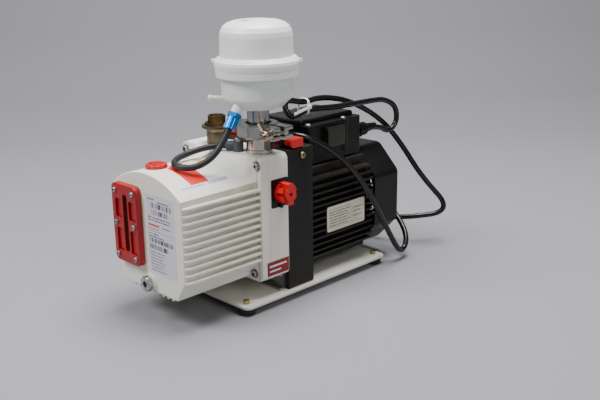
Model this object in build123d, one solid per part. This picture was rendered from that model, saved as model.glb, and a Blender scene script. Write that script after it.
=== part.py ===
from build123d import *
from math import atan2, cos, degrees, pi, radians, sin, sqrt, tan
import os

# Oil-sealed rotary vane vacuum pump, motor-driven, with an exhaust oil filter.
# Millimetres. X = 0 is the middle plane, the oil case faces -Y, the motor +Y, Z = 0 is the ground.

# --- overall sizes -------------------------------------------------------------------------
PLATE_X, PLATE_Y, PLATE_T = 167.8, 271.8, 3.0
FOOT_H = 10.0
PLATE_TOP = FOOT_H + PLATE_T
FOOT_SX, FOOT_SY = 138.0, 248.0
FOOT_BORE_R = 2.1
SHAFT_Z = 95.0

CASE_FRONT, CASE_BODY_END, JOINT_Y = -220.5, -101.5, -87.2
CASE_W, CASE_SHOULDER, CASE_CREST = 69.7, 169.0, 192.5
CASE_FOOT_W, CASE_BOTTOM, CASE_KNEE = 52.8, 41.0, 67.0
WALL = 6.0
BLOCK_W, BLOCK_BOTTOM, PLATFORM = 77.3, 36.0, 200.4
BLOCK_END = -55.0
FIN_COUNT, FIN_TOP, FIN_PITCH, FIN_T = 11, 159.5, 9.21, 4.2

LANTERN_END, LANTERN_TOP = -9.5, 202.0
MOTOR_HALF, MOTOR_END, COVER_END = 73.0, 122.0, 177.0

BORE_R, ROTOR_R, ECC = 30.0, 24.9, 5.0
CYL_FRONT, SHAFT_R = -167.0, 8.0

INLET = (-31.4, -78.3)
EXHAUST = (50.5, -78.3)
FLANGE_R, CLAMP_Z0, CLAMP_Z1, CLAMP_R = 20.0, 221.0, 239.0, 27.5
BOWL_Z, BOWL_CONE, RIM_Z0, RIM_Z1, LID_TOP = 258.0, 271.0, 298.0, 321.0, 366.0

CASE_SCREWS = [(-70.3, 189.6), (70.3, 189.6), (-61.5, 45.4), (61.5, 45.4)]
SIGHT_X, SIGHT_Z = -34.05, 121.75
SIGHT_SCREWS = [(x, z) for x in (-52.6, -15.5) for z in (163.7, 121.7, 79.8)]
DRAIN = (1.0, 51.9)
FILLER = (-11.0, -193.5)
KNOB = (-68.0, 151.0)
BOX_X, BOX_Y0, BOX_Y1, BOX_Z0, BOX_Z1 = 50.0, 8.0, 118.0, 166.0, 215.0
BOX_SCREWS = [(x, y) for x in (-46.0, 46.0) for y in (14.6, 84.0)]
GLAND = (40.0, 195.0)
HANDLE_Y, HANDLE_Z = -43.0, 208.5

CORD_R, HOSE_R = 4.0, 4.0

os.makedirs("parts", exist_ok=True)


# --- small helpers -------------------------------------------------------------------------
def block(x0, x1, y0, y1, z0, z1):
    return Pos((x0 + x1) / 2, (y0 + y1) / 2, (z0 + z1) / 2) * Box(x1 - x0, y1 - y0, z1 - z0)


def rod_x(y, z, x0, x1, r):
    return Pos((x0 + x1) / 2, y, z) * Rot(0, 90, 0) * Cylinder(r, x1 - x0)


def rod_y(x, z, y0, y1, r):
    return Pos(x, (y0 + y1) / 2, z) * Rot(90, 0, 0) * Cylinder(r, y1 - y0)


def rod_z(x, y, z0, z1, r):
    return Pos(x, y, (z0 + z1) / 2) * Cylinder(r, z1 - z0)


def ext_x(sketch, x0, x1):
    return extrude(Plane.YZ.offset(x0) * sketch, x1 - x0)


def ext_y(sketch, y0, y1):
    return extrude(Plane.XZ.offset(-y1) * sketch, y1 - y0)


def ext_z(sketch, z0, z1):
    return extrude(Plane.XY.offset(z0) * sketch, z1 - z0)


def turned(x, y, profile):
    """Body of revolution about the vertical through (x, y) from (radius, height) points."""
    face = make_face(Plane.XZ * Polyline(*profile, close=True))
    return Pos(x, y, 0) * revolve(face, Axis.Z)


def plate_xz(cx, cz, w, h, r, y0, y1):
    return ext_y(Pos(cx, cz) * RectangleRounded(w, h, r), y0, y1)


def arch(half, shoulder, crest, knee, foot, bottom):
    curve = ThreePointArc((-half, shoulder), (0, crest), (half, shoulder))
    rest = Polyline((half, shoulder), (half, knee), (foot, bottom), (-foot, bottom),
                    (-half, knee), (-half, shoulder))
    return make_face(curve + rest)


def cap_screw(head_r, head_h, shank_r, length, socket_r):
    """Socket screw along Z, head up, underside of the head at z = 0."""
    body = Pos(0, 0, head_h / 2) * Cylinder(head_r, head_h)
    body = fillet(body.edges().group_by(Axis.Z)[-1], head_h * 0.2)
    body += Pos(0, 0, -length / 2) * Cylinder(shank_r, length)
    socket = extrude(Plane.XY.offset(head_h * 0.4) * RegularPolygon(socket_r, 6), head_h)
    return body - socket


def dome_screw(head_r, head_h, shank_r, length):
    body = Pos(0, 0, head_h / 2) * Cylinder(head_r, head_h)
    body = fillet(body.edges().group_by(Axis.Z)[-1], head_h * 0.6)
    body += Pos(0, 0, -length / 2) * Cylinder(shank_r, length)
    slot = Pos(0, 0, head_h) * Box(head_r * 1.1, 1.2, head_h * 0.9)
    return body - slot - Rot(0, 0, 90) * slot


def facing(x, y, z, way):
    """Place a part built along +Z so that its head points along a world direction."""
    turn = {"-Y": Rot(90, 0, 0), "+X": Rot(0, 90, 0), "-X": Rot(0, -90, 0), "+Z": Rot(0, 0, 0),
            "+Y": Rot(-90, 0, 0), "-Z": Rot(180, 0, 0)}[way]
    return Pos(x, y, z) * turn


def save(name, *solids):
    shape = solids[0] if len(solids) == 1 else Compound(children=list(solids))
    export_step(shape, "parts/" + name + ".step")
    print(f"{name:20s} {shape.volume / 1000.0:9.2f} cm3")


def swept(points, r, bends):
    """A tube of radius r along straight runs joined by tangent arcs."""
    radii = []
    vecs = [Vector(*p) for p in points]
    for a, b, c in zip(vecs, vecs[1:], vecs[2:]):
        turn = radians((b - a).get_angle(c - b))
        room = 0.45 * min((b - a).length, (c - b).length) / tan(turn / 2)
        radii.append(min(room, bends))
    path = FilletPolyline(*points, radius=radii)
    start = Plane(path @ 0, z_dir=path % 0)
    tube = sweep(start * Circle(r), path=path)
    print("bend radii", [round(v, 1) for v in radii], "length", round(path.length, 1))
    print("tube volume / (section x length)", round(tube.volume / (pi * r * r * path.length), 4))
    return tube


# --- base ----------------------------------------------------------------------------------
def foot_places():
    return [(sx * FOOT_SX / 2, sy * FOOT_SY / 2) for sx in (-1, 1) for sy in (-1, 1)]


def base_plate():
    plate = ext_z(RectangleRounded(PLATE_X, PLATE_Y, 9), FOOT_H, PLATE_TOP)
    for x, y in foot_places():
        plate -= rod_z(x, y, 0, 20, 3.3)
    for x in (-50, 50):
        plate -= rod_z(x, -61, 0, 20, 2.75)
    save("base_plate", plate)


def rubber_feet():
    feet = []
    for x, y in foot_places():
        foot = Pos(x, y, FOOT_H / 2) * Rot(180, 0, 0) * Cone(12.5, 11, FOOT_H)
        foot -= rod_z(x, y, -1, 4.5, FOOT_BORE_R)
        foot -= rod_z(x, y, 5.5, 11, 2.5)
        feet.append(foot)
    save("rubber_feet", *feet)


def foot_screws():
    screw = cap_screw(4.25, 5, 2.5, 7.5, 2.0)
    save("foot_screws", *[Pos(x, y, PLATE_TOP) * screw for x, y in foot_places()])


def support_bracket():
    y0 = -66.0
    body = block(-70, 70, y0, BLOCK_END, PLATE_TOP, PLATE_TOP + 3)
    body += block(-70, 70, y0, BLOCK_END, BLOCK_BOTTOM - 3, BLOCK_BOTTOM)
    body += block(-70, 70, BLOCK_END - 4, BLOCK_END, PLATE_TOP, BLOCK_BOTTOM)
    save("support_bracket", body)


# --- oil case ------------------------------------------------------------------------------
def side_fins():
    length = [(66, CASE_FRONT + 1.2), (68.5, CASE_FRONT + 0.2), (71.6, CASE_FRONT + 2.2),
              (73.9, CASE_FRONT + 7), (76.0, CASE_BODY_END), (66, CASE_BODY_END)]
    fins = []
    for i in range(FIN_COUNT):
        z = FIN_TOP - i * FIN_PITCH
        fin = ext_z(Polygon(*length, align=None), z - FIN_T / 2, z + FIN_T / 2)
        rim = [e for e in fin.edges() if e.center().X > 67.5 and abs(e.center().Z - z) > 1]
        fin = fillet([e for e in rim if e.center().Y < CASE_BODY_END - 1], 1.7)
        fins.append(fin)
        fins.append(mirror(fin, Plane.YZ))
    return fins


def case_ramp():
    """The roof sweeps up from the arch to the flat platform at the joint."""
    steps = [(-136.0, CASE_CREST - 0.3), (-117.0, CASE_CREST + 4.0), (CASE_BODY_END, 219.0)]
    faces = []
    for y, crest in steps:
        half = CASE_W - 1.5
        curve = ThreePointArc((-half, CASE_SHOULDER - 4), (0, crest), (half, CASE_SHOULDER - 4))
        face = make_face(curve + Line((half, CASE_SHOULDER - 4), (-half, CASE_SHOULDER - 4)))
        faces.append(Plane.XZ.offset(-y) * face)
    ramp = loft(faces)
    return ramp - block(-90, 90, -150, -80, PLATFORM, 260)


def oil_case():
    shell = ext_y(arch(CASE_W, CASE_SHOULDER, CASE_CREST, CASE_KNEE, CASE_FOOT_W, CASE_BOTTOM),
                  CASE_FRONT, CASE_BODY_END)
    front = [e for e in shell.edges() if abs(e.center().Y - CASE_FRONT) < 0.1]
    shell = fillet(front, 1.6)
    back = JOINT_Y - 0.25
    mid_z = (BLOCK_BOTTOM + PLATFORM) / 2
    flange = plate_xz(0, mid_z, 2 * BLOCK_W, PLATFORM - BLOCK_BOTTOM, 8, CASE_BODY_END, back)
    body = shell + flange + case_ramp()
    for fin in side_fins():
        body += fin
    for i in range(-4, 5):
        body += block(i * 10 - 1.5, i * 10 + 1.5, CASE_FRONT + 3, CASE_BODY_END, 37, CASE_BOTTOM + 2)
    hollow = arch(CASE_W - WALL, CASE_SHOULDER - 3, CASE_CREST - WALL, CASE_KNEE + 3,
                  CASE_FOOT_W - 4, CASE_BOTTOM + WALL)
    body += rod_y(*DRAIN, -224, CASE_FRONT + 8, 11.5)
    body -= ext_y(hollow, CASE_FRONT + WALL, back + 1)
    # pockets and holes for the four flange screws
    for x, z in CASE_SCREWS:
        body -= rod_y(x, z, -150, CASE_BODY_END + 2.5, 7.0 if z > 100 else 6.2)
        body -= rod_y(x, z, -120, -80, 3.3)
    # sight glass window and its screw holes, drain, filler
    body -= plate_xz(SIGHT_X + 2, SIGHT_Z + 1.2, 8, 76, 3.9, CASE_FRONT - 1, CASE_FRONT + 10)
    for x, z in SIGHT_SCREWS:
        body -= rod_y(x, z, CASE_FRONT - 1, CASE_FRONT + 4.5, 1.9)
    body -= rod_y(*DRAIN, -230, -200, 6.5)
    body -= rod_z(*FILLER, 190.0, 210, 14.5)
    body -= rod_z(*FILLER, 170, 200, 9.0)
    # oil return drilling under the hose elbow, exhaust drilling under the filter
    body -= rod_z(27, -92.5, 150, 210, 3.0)
    save("oil_case", body)


def flat_gaskets():
    mid_z = (BLOCK_BOTTOM + PLATFORM) / 2
    main = plate_xz(0, mid_z, 2 * BLOCK_W - 1, PLATFORM - BLOCK_BOTTOM - 1, 7.5,
                    JOINT_Y - 0.25, JOINT_Y + 0.25)
    hollow = arch(CASE_W - WALL, CASE_SHOULDER - 3, CASE_CREST - WALL, CASE_KNEE + 3,
                  CASE_FOOT_W - 4, CASE_BOTTOM + WALL)
    main -= ext_y(hollow, JOINT_Y - 1, JOINT_Y + 1)
    for x, z in CASE_SCREWS:
        main -= rod_y(x, z, -90, -80, 3.3)
    glass = plate_xz(SIGHT_X, SIGHT_Z, 55, 104, 9, CASE_FRONT - 1, CASE_FRONT)
    glass -= plate_xz(SIGHT_X + 2, SIGHT_Z + 1.2, 12, 80, 5.9, CASE_FRONT - 2, CASE_FRONT + 1)
    for x, z in SIGHT_SCREWS:
        glass -= rod_y(x, z, CASE_FRONT - 2, CASE_FRONT + 1, 2.1)
    x, z = DRAIN
    ring = rod_y(x, z, -225.2, -224, 10) - rod_y(x, z, -230, -220, 6.6)
    fx, fy = FILLER
    ring2 = rod_z(fx, fy, 190.0, 191.4, 12.5) - rod_z(fx, fy, 185, 195, 9.1)
    save("flat_gaskets", main, glass, ring, ring2)


def case_screws():
    screw = cap_screw(4.6, 6, 3.0, 30, 2.6)
    screws = [facing(x, CASE_BODY_END + 2.5, z, "-Y") * screw for x, z in CASE_SCREWS]
    # the fifth holds the hose elbow on the platform
    screws.append(Pos(27, -92.5, 213.5) * cap_screw(5.0, 4, 3.0, 8, 2.4))
    save("case_screws", *screws)


def sight_window():
    back = CASE_FRONT - 1
    glass = plate_xz(SIGHT_X + 2, SIGHT_Z + 1.2, 18, 86, 8.9, back - 4, back)
    save("sight_glass", glass)
    frame = plate_xz(SIGHT_X, SIGHT_Z, 53, 102, 8, back - 8, back)
    frame = fillet(frame.edges().filter_by(lambda e: abs(e.center().Y - (back - 8)) < 0.05), 1.2)
    for side in (-1, 1):
        x0 = SIGHT_X + 2 + side * 14.2
        frame -= plate_xz(x0, SIGHT_Z - 21.5, 13.5, 30, 1.5, back - 9, back - 5.4)
        frame -= plate_xz(x0, SIGHT_Z + 19.5, 13.5, 24, 1.5, back - 9, back - 5.4)
    for x, z in SIGHT_SCREWS:
        frame += rod_y(x, z, back - 8.2, back, 5.6)
    frame -= plate_xz(SIGHT_X + 2, SIGHT_Z + 1.2, 18.1, 86.1, 8.95, back - 4, back + 1)
    frame -= plate_xz(SIGHT_X + 2, SIGHT_Z + 1.2, 10, 76, 4.9, back - 10, back)
    for x, z in SIGHT_SCREWS:
        frame -= rod_y(x, z, back - 10, back + 1, 2.1)
    save("sight_frame", frame)
    screw = dome_screw(3.5, 2.6, 1.9, 12.5)
    save("sight_screws", *[facing(x, back - 8.2, z, "-Y") * screw for x, z in SIGHT_SCREWS])


def oil_plugs():
    x, z = DRAIN
    fx, fy = FILLER
    plug = rod_y(x, z, -230.5, -225.2, 10)
    plug = fillet(plug.edges().filter_by(lambda e: e.center().Y < -230), 1.5)
    plug += rod_y(x, z, -225.2, -213, 6.4)
    plug -= extrude(Plane.XZ.offset(226) * Pos(x, z) * RegularPolygon(4.6, 6), 8)
    save("oil_drain_plug", plug)
    cap = rod_z(fx, fy, 191.4, 197.0, 13.5)
    cap = fillet(cap.edges().group_by(Axis.Z)[-1], 1.2)
    for i in range(12):
        cap -= Pos(fx, fy, 194) * Rot(0, 0, i * 30 + 15) * Pos(14.3, 0, 0) * Cylinder(1.7, 10)
    cap -= Pos(fx, fy, 197) * (Cylinder(9.5, 2.4) - Cylinder(6.5, 3))
    cap -= Pos(fx, fy, 196.8) * Box(3, 11, 2.4)
    cap += rod_z(fx, fy, 180, 191.4, 8.9)
    cap -= rod_z(fx, fy, 170, 186, 6.5)
    save("oil_fill_plug", cap)


# --- pump block, cylinder and rotor -----------------------------------------------------------
def pump_block():
    mid_z = (BLOCK_BOTTOM + PLATFORM) / 2
    y0 = JOINT_Y + 0.25
    body = plate_xz(0, mid_z, 2 * BLOCK_W, PLATFORM - BLOCK_BOTTOM, 8, y0, BLOCK_END)
    for x, z in CASE_SCREWS:
        body -= rod_y(x, z, -95, -66, 3.05)
    body -= rod_y(0, SHAFT_Z, -95, -50, SHAFT_R + 0.05)
    body -= rod_y(0, SHAFT_Z, -63, -50, 14)
    # inlet drilling: down from the port, then forward into the cylinder
    body -= rod_z(INLET[0], INLET[1], SHAFT_Z, 210, 5)
    body -= rod_z(EXHAUST[0], EXHAUST[1], 150, 210, 5)
    body -= rod_y(EXHAUST[0], 155, -95, EXHAUST[1] + 5, 5)
    # gas ballast drilling
    body -= rod_x(KNOB[0], KNOB[1], 40, 90, 4.05)
    save("pump_block", body)


def pump_cylinder():
    y1 = JOINT_Y + 0.25
    z_c = SHAFT_Z - ECC
    body = plate_xz(0, z_c, 84, 80, 8, CYL_FRONT, y1)
    body -= rod_y(0, z_c, CYL_FRONT - 1, y1 + 1, BORE_R)
    # outlet port under the valve
    body -= rod_z(14, -134, z_c + 20, z_c + 50, 3)
    body -= rod_z(14, -120, z_c + 20, z_c + 50, 3)
    save("pump_cylinder", body)
    end = plate_xz(0, z_c, 84, 80, 8, CYL_FRONT - 9, CYL_FRONT)
    end -= rod_y(0, SHAFT_Z, CYL_FRONT - 20, CYL_FRONT + 1, SHAFT_R + 0.05)
    end += plate_xz(0, SHAFT_Z, 26, 26, 12.9, CYL_FRONT - 12, CYL_FRONT - 9)
    end -= rod_y(0, SHAFT_Z, CYL_FRONT - 10.5, CYL_FRONT + 1, SHAFT_R + 0.05)
    save("cylinder_end_plate", end)


def exhaust_valve():
    z0 = SHAFT_Z - ECC + 40.05
    reed = block(7, 34, -140, -114, z0, z0 + 0.5)
    save("exhaust_valve", reed)


def rotor():
    y0, y1 = CYL_FRONT + 0.1, JOINT_Y + 0.15
    body = rod_y(0, SHAFT_Z, y0, y1, ROTOR_R)
    body += rod_y(0, SHAFT_Z, CYL_FRONT - 8, -38, SHAFT_R)
    for side in (-1, 1):
        x0, x1 = sorted((side * 9.4, side * 30))
        body -= block(x0, x1, y0 - 0.01, y1 + 0.01, SHAFT_Z - 2.5, SHAFT_Z + 2.5)
    for y in (-147, -107):
        body -= rod_x(y, SHAFT_Z, -12, 12, 2.3)
    save("pump_rotor", body)
    for side, name in ((-1, "vane_left"), (1, "vane_right")):
        x0, x1 = sorted((side * 9.6, side * 24.7))
        vane = block(x0, x1, y0 + 0.1, y1 - 0.1, SHAFT_Z - 2.45, SHAFT_Z + 2.45)
        tip = [e for e in vane.edges().filter_by(Axis.Y) if abs(e.center().X) > 20]
        save(name, fillet(tip, 1.5))
    springs = []
    for y in (-147, -107):
        coil = Helix(pitch=1.6, height=17.6, radius=1.8)
        wire = sweep(Plane(coil @ 0, z_dir=coil % 0) * Circle(0.3), path=coil)
        springs.append(Pos(-8.8, y, SHAFT_Z) * Rot(0, 90, 0) * wire)
    save("vane_springs", *springs)


def shaft_seal():
    ring = rod_y(0, SHAFT_Z, -63, -56, 13.95) - rod_y(0, SHAFT_Z, -70, -50, SHAFT_R + 0.1)
    save("shaft_seal", ring)


# --- gas ballast -----------------------------------------------------------------------------
def gas_ballast():
    y0, y1, z0, z1 = -84.5, -56.0, 132.0, 169.0
    plate = block(BLOCK_W, BLOCK_W + 1.2, y0, y1, z0, z1)
    plate = fillet(plate.edges().filter_by(Axis.X), 2)
    plate += rod_x(KNOB[0] - 1.5, 133.4, BLOCK_W, BLOCK_W + 4, 2.6)
    plate -= rod_x(*KNOB, 70, 90, 4.5)
    save("ballast_plate", plate)
    knob = rod_x(*KNOB, BLOCK_W + 1.6, BLOCK_W + 6, 13.0)
    knob += rod_x(*KNOB, BLOCK_W + 6, BLOCK_W + 19, 9.0)
    grip = Pos(BLOCK_W + 10.3, *KNOB) * Box(17.4, 9.5, 28)
    knob += grip
    knob += Pos(BLOCK_W + 9.0, *KNOB) * Rot(62, 0, 0) * Box(14, 7, 26.5)
    knob += Pos(BLOCK_W + 9.0, *KNOB) * Rot(-62, 0, 0) * Box(14, 7, 26.5)
    knob = knob & rod_x(*KNOB, BLOCK_W, BLOCK_W + 22, 14.2)
    knob += rod_x(*KNOB, 55, BLOCK_W + 3, 4.0)
    knob -= rod_x(*KNOB, BLOCK_W + 17.5, BLOCK_W + 22, 2.6)
    knob -= extrude(Plane.YZ.offset(BLOCK_W + 14) * Pos(*KNOB) * RegularPolygon(1.6, 6), 8)
    save("ballast_knob", knob)


# --- ports, clamp and filter --------------------------------------------------------------------
def inlet_port():
    x, y = INLET
    port = turned(x, y, [(11, PLATFORM), (14, PLATFORM), (14, 217), (15, 220.5), (20, 221.6),
                         (20, 224.6), (11, 226.2)])
    save("inlet_port", port)
    nipple = turned(x, y, [(8.8, 222), (10.95, 222), (10.95, 226.2), (16.0, 226.2), (16, 228),
                           (11.8, 228), (11.8, 236.8), (11, 237.6), (8.8, 237.6)])
    save("inlet_nipple", nipple)


def exhaust_port():
    x, y = EXHAUST
    neck = turned(x, y, [(12.7, PLATFORM), (17, PLATFORM), (17, 205), (16, 206), (16, 222.2),
                         (20, 225.6), (20, 228.8), (12.7, 228.8)])
    save("exhaust_port", neck)
    ring = turned(x, y, [(11.2, 226.5), (12.6, 226.5), (12.6, 228.8), (19, 228.8), (19, 231.2),
                         (12.6, 231.2), (12.6, 233.5), (11.2, 233.5)])
    save("centering_ring", ring)
    tube = turned(x, y, [(12.7, 231.2), (20, 231.2), (20, 234.4), (14, 237.8), (14, BOWL_Z + 6),
                         (12.7, BOWL_Z + 6)])
    save("exhaust_tube", tube)


def clamp_jaws():
    x, y = EXHAUST
    z0, z1 = CLAMP_Z0 + 1, CLAMP_Z1 - 1
    z_mid = (CLAMP_Z0 + CLAMP_Z1) / 2
    ring = turned(x, y, [(16.6, CLAMP_Z0), (24, CLAMP_Z0), (CLAMP_R, CLAMP_Z0 + 2.6),
                         (CLAMP_R, CLAMP_Z1 - 2.6), (24, CLAMP_Z1), (16.6, CLAMP_Z1),
                         (20.4, z_mid + 4.6), (20.4, z_mid - 4.6)])
    ring -= block(x - 60, x + 60, y - 1.2, y + 1.2, 200, 250)
    inner = rod_z(x, y, 200, 250, 22)
    # far jaw: forked lug for the bolt eye, outer hinge ears and the two pins
    lug = block(x + 20, x + 44, y + 3, y + 17, z0, z1)
    lug = fillet(lug.edges().filter_by(Axis.Y).group_by(Axis.X)[-1], 1.5)
    far = (ring & block(x - 60, x + 60, y, y + 60, 200, 250)) + (lug - inner)
    far += block(x - 35, x - 24, y + 1.2, y + 6, z0, z1) - inner
    ears = rod_z(x - 31, y, z0, z1, 4.5)
    far += ears
    far -= block(x - 37, x - 22, y - 6, y + 5, z_mid - 4, z_mid + 4)
    far -= block(x - 60, x - 27.0, y - 60, y - 4.6, 200, 250)
    far -= block(x + 32, x + 50, y + 1, y + 20, z_mid - 3.6, z_mid + 3.6)
    far += rod_z(x + 37, y + 10, z0 + 1, z1 - 1, 2.0)
    # near jaw: slotted lug under the wing nut, middle hinge knuckle
    lug = block(x + 18, x + 42, y - 14.8, y - 2.2, z0, z1)
    lug = fillet(lug.edges().filter_by(Axis.Y).group_by(Axis.X)[-1], 1.5)
    near = (ring & block(x - 60, x + 60, y - 60, y, 200, 250)) + (lug - inner)
    near -= block(x + 33.2, x + 50, y - 20, y, z_mid - 3.4, z_mid + 3.4)
    knuckle = rod_z(x - 31, y, z_mid - 3.8, z_mid + 3.8, 4.4)
    near -= rod_z(x - 31, y, 200, 250, 4.8)
    near += knuckle + block(x - 31, x - 24.5, y - 4.4, y - 1.4, z_mid - 3.8, z_mid + 3.8)
    near -= rod_z(x - 31, y, 200, 250, 2.05)
    far += rod_z(x - 31, y, z_mid - 6, z_mid + 6, 2.0)
    save("clamp_jaw_far", far)
    save("clamp_jaw_near", near)
    eye = rod_z(x + 37, y + 10, z_mid - 3.2, z_mid + 3.2, 4.6)
    bolt = eye + rod_y(x + 37, z_mid, y - 30, y + 8, 2.9)
    bolt -= rod_z(x + 37, y + 10, 200, 250, 2.06)
    save("swing_bolt", bolt)


def wing_nut():
    x, y = EXHAUST
    z_mid = (CLAMP_Z0 + CLAMP_Z1) / 2
    cx, y1 = x + 37, y - 16.0
    nut = rod_y(cx, z_mid, y1 - 10, y1, 6.6)
    nut = fillet(nut.edges().filter_by(lambda e: e.center().Y < y1 - 9.9), 1.5)
    wing = make_face(Polyline((3.5, 0), (-3.5, 0), (-8.5, 14), (-5.5, 16), (-1.5, 15), (1, 8),
                              close=True))
    blade = ext_x(wing, -1.6, 1.6)
    blade = fillet(blade.edges().filter_by(Axis.X), 1.2)
    for turn in (-20, 160):
        nut += Pos(cx, y1 - 5, z_mid) * Rot(0, turn, 0) * Pos(0, 0, 3) * blade
    nut -= rod_y(cx, z_mid, y1 - 20, y1 + 1, 3.0)
    save("wing_nut", nut)


def exhaust_filter():
    x, y = EXHAUST
    bowl = turned(x, y, [(14, BOWL_Z), (28, BOWL_Z), (31, BOWL_Z + 1), (42.5, BOWL_CONE - 1.5),
                         (44.3, BOWL_CONE + 1.5), (45, RIM_Z0), (51.5, RIM_Z0), (51.5, RIM_Z0 + 8),
                         (48.4, RIM_Z0 + 8), (48.4, RIM_Z0 + 2.5), (43, RIM_Z0 + 2.5),
                         (42.3, BOWL_CONE + 2.5), (40, BOWL_CONE + 0.5), (29.5, BOWL_Z + 3),
                         (14, BOWL_Z + 3)])
    a = atan2(-0.6, -0.8)
    spout = Pos(x, y, 268.5) * Rot(0, 0, degrees(a)) * Pos(50, 0, 0) * Rot(0, 90, 0)
    bowl += spout * (Cylinder(3.4, 26) + Pos(0, 0, 10) * Cylinder(4.2, 4))
    bowl -= Pos(x, y, 268.5) * Rot(0, 0, degrees(a)) * Pos(50, 0, 0) * Rot(0, 90, 0) * Cylinder(2.2, 40)
    notch = Pos(x, y, RIM_Z0) * Rot(0, 0, -126) * Pos(51, 0, 1) * Box(8, 12, 6)
    bowl -= notch
    save("filter_bowl", bowl)
    lid = turned(x, y, [(0, LID_TOP), (16, LID_TOP - 0.4), (28, LID_TOP - 1.8),
                        (36, LID_TOP - 4.4), (41, LID_TOP - 8.4), (44, LID_TOP - 14),
                        (45, LID_TOP - 20), (45.5, RIM_Z1 + 1), (48.5, RIM_Z1),
                        (52.5, RIM_Z1 - 4), (53, RIM_Z1 - 7.5), (52, RIM_Z0 + 11), (50.6, RIM_Z0 + 8.2),
                        (45.5, RIM_Z0 + 8.2), (45.5, RIM_Z1 - 4), (43, RIM_Z1), (42, LID_TOP - 18),
                        (40, LID_TOP - 11.5), (34.5, LID_TOP - 7.4), (27, LID_TOP - 4.9),
                        (0, LID_TOP - 3)])
    for ang in (40, 220):
        lid += Pos(x, y, RIM_Z1 - 5) * Rot(0, 0, ang) * Pos(54, 0, 0) * Box(4.5, 5, 4)
    slot = Pos(x, y, RIM_Z0 + 10.5) * Rot(0, 0, -126) * Pos(51.6, 0, 0)
    lid -= slot * Box(3, 22, 1.6)
    save("filter_lid", lid)
    core = rod_z(x, y, 275, 350, 30) - rod_z(x, y, 270, 344, 18)
    core += turned(x, y, [(14.2, 264.2), (18, 264.2), (18, 275), (30, 275), (30, 279), (14.2, 279)])
    save("filter_element", core)


NIPPLE = Vector(53.0, -112.0, 266.0)
NIPPLE_DIR = Vector(0.03, -0.54, -0.84).normalized()


def along_nipple(dist):
    return Plane(NIPPLE + NIPPLE_DIR * dist, z_dir=NIPPLE_DIR)


def drain_fitting():
    stub = along_nipple(-8) * Pos(0, 0, 10) * Cylinder(6.4, 20)
    x, y = EXHAUST
    cone = turned(x, y, [(0, BOWL_Z), (28, BOWL_Z), (31, BOWL_Z + 1), (42.5, BOWL_CONE - 1.5),
                         (44.3, BOWL_CONE + 1.5), (45, RIM_Z0), (0, RIM_Z0)])
    stub = stub - cone
    save("drain_nipple", stub - along_nipple(-10) * Pos(0, 0, 12) * Cylinder(3.2, 24))
    nut = extrude(along_nipple(12) * RegularPolygon(9.2, 6), 5.5)
    body = along_nipple(17.5) * Pos(0, 0, 7.5) * Cylinder(7.4, 15)
    for i in range(12):
        body -= along_nipple(17.5) * Rot(0, 0, i * 30) * Pos(8.1, 0, 8) * Cylinder(1.3, 17)
    fitting = nut + body
    fitting -= along_nipple(0) * Pos(0, 0, 20) * Cylinder(3.2, 40)
    fitting -= along_nipple(23.5) * Pos(0, 0, 10) * Cylinder(HOSE_R, 20)
    save("hose_fitting", fitting)


HOSE_END = NIPPLE + NIPPLE_DIR * 24.0
HOSE_DROP = NIPPLE + NIPPLE_DIR * 60.0
HOSE_ROUTE = [(HOSE_END.X, HOSE_END.Y, HOSE_END.Z), (HOSE_DROP.X, HOSE_DROP.Y, HOSE_DROP.Z),
              (43.0, -170.0, 196.0), (21.0, -188.0, 196.2), (-4.0, -173.0, 197.6),
              (-13.0, -141.0, 201.0), (-1.0, -113.0, 206.5), (17.5, -98.2, 207.5)]


def oil_return_hose():
    tube = swept(HOSE_ROUTE, HOSE_R, 34)
    save("oil_return_hose", tube)
    a, b = Vector(*HOSE_ROUTE[-2]), Vector(*HOSE_ROUTE[-1])
    way = (b - a).normalized()
    barrel = Plane(b - way * 5, z_dir=way) * Pos(0, 0, 8) * Cylinder(6.2, 16)
    elbow = barrel + rod_z(27, -92.5, PLATFORM, 213.5, 6.8)
    elbow -= Plane(b - way * 6, z_dir=way) * Pos(0, 0, 3) * Cylinder(HOSE_R, 6)
    elbow -= rod_z(27, -92.5, 205, 220, 3.05)
    elbow -= rod_z(27, -92.5, 213.5, 220, 5.2)
    save("hose_elbow", elbow)


# --- lantern and handle ---------------------------------------------------------------------------
def lantern():
    body = block(-BLOCK_W, BLOCK_W, BLOCK_END, LANTERN_END, PLATE_TOP, LANTERN_TOP)
    body = fillet(body.edges().filter_by(Axis.Y), 3)
    body -= rod_y(0, SHAFT_Z, BLOCK_END + 6, LANTERN_END - 6, 40)
    body -= rod_y(0, SHAFT_Z, -60, 0, 20)
    body -= block(-40, 40, BLOCK_END + 8, LANTERN_END - 8, 20, SHAFT_Z - 30)
    for x in (-BLOCK_W, BLOCK_W):
        body -= rod_x(-28.7, 191.6, x - 6, x + 6, 2.5)
    for side in (-1, 1):
        body += block(side * 60.0 - 4, side * 60.0 + 4, HANDLE_Y - 5, HANDLE_Y + 5, 200,
                      HANDLE_Z + 4)
        body -= rod_x(HANDLE_Y, HANDLE_Z, side * 60 - 10, side * 60 + 10, 2.05)
    save("motor_flange", body)
    screw = dome_screw(4.6, 3.4, 2.45, 5.5)
    screws = [facing(BLOCK_W, -28.7, 191.6, "+X") * screw]
    screws.append(facing(-BLOCK_W, -28.7, 191.6, "-X") * screw)
    save("flange_screws", *screws)


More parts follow.
